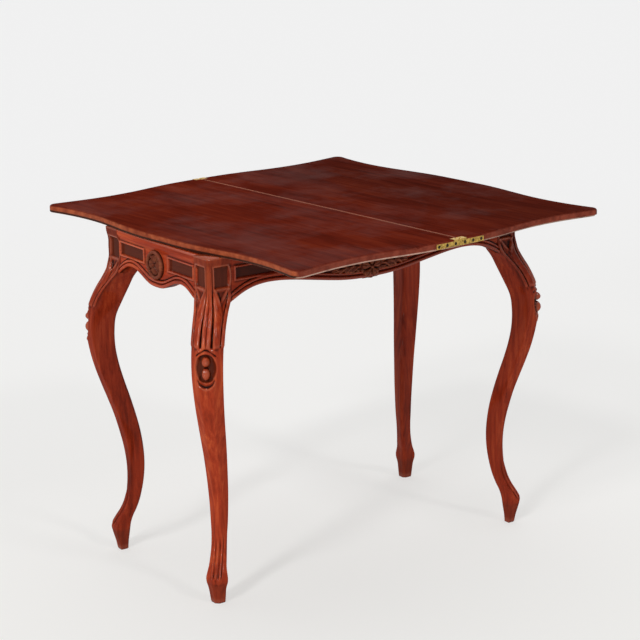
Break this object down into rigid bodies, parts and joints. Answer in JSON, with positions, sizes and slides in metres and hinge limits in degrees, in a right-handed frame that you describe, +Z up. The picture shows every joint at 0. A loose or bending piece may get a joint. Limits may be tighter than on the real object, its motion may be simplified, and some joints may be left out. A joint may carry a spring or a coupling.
{
  "type": "swivel-top games table",
  "caption": "Serpentine games table with a brass-hinged folding top that swivels on its apron frame, over a shallow well, on carved cabriole legs.",
  "frame": {"origin": "middle of the footprint of the whole table on the floor, in the drawn pose with the top opened out", "axes": "+Z up, +X along the long side of the frame to the right of someone facing its front, +Y from the front of the frame to its back"},
  "size_m": [0.936, 0.9348, 0.75],
  "materials": {
    "show_frame": "glossy red-brown varnish, worn",
    "carving": "dark varnished carving",
    "inside_wood": "unfinished secondary wood",
    "top_wood": "dark polished mahogany",
    "brass": "aged satin brass",
    "steel": "dulled steel"
  },
  "bodies": {
    "frame": {"leg_front_left": "show_frame", "leg_front_right": "show_frame", "leg_back_left": "show_frame", "leg_back_right": "show_frame", "apron_front": "show_frame", "apron_back": "show_frame", "apron_left": "show_frame", "apron_right": "show_frame", "ornament_front": "carving", "ornament_back": "carving", "medallion_left": "carving", "medallion_right": "carving", "pivot_rail": "inside_wood", "pivot_bush": "brass", "stop_block_open": "inside_wood", "stop_block_closed": "inside_wood", "well_floor": "inside_wood", "cleat_front": "inside_wood", "cleat_back": "inside_wood", "floor_screws": "steel", "glue_blocks": "inside_wood"},
    "bed": {"bed_leaf": "top_wood", "bed_hinge_pins": "brass", "bed_hinge_screws": "steel", "bed_hinge_plate_front": "brass", "bed_hinge_plate_back": "brass", "pivot_plate": "brass", "pivot_bolt": "steel", "pivot_washer": "steel", "pivot_nut": "steel", "pivot_plate_screws": "steel", "stop_peg": "inside_wood"},
    "links": {"hinge_link_front": "brass", "hinge_link_back": "brass"},
    "flap": {"flap_leaf": "top_wood", "flap_hinge_pins": "brass", "flap_hinge_screws": "steel", "flap_hinge_plate_front": "brass", "flap_hinge_plate_back": "brass"}
  },
  "joints": [
    {"name": "top_swivel", "type": "hinge", "parent": "frame", "child": "bed", "pos_m": [-0.11061, 0.08337, 0.72], "axis": [0, 0, 1], "range_deg": [-4.7, 85.3]},
    {"name": "link_turn", "type": "hinge", "parent": "bed", "child": "links", "pos_m": [0.00679, -0.0003, 0.7465], "axis": [0.0819, -0.9966, 0], "range_deg": [0, 90]},
    {"name": "flap_turn", "type": "hinge", "parent": "links", "child": "flap", "pos_m": [0.01397, 0.0003, 0.7465], "axis": [0.0819, -0.9966, 0], "range_deg": [0, 90]}
  ]
}
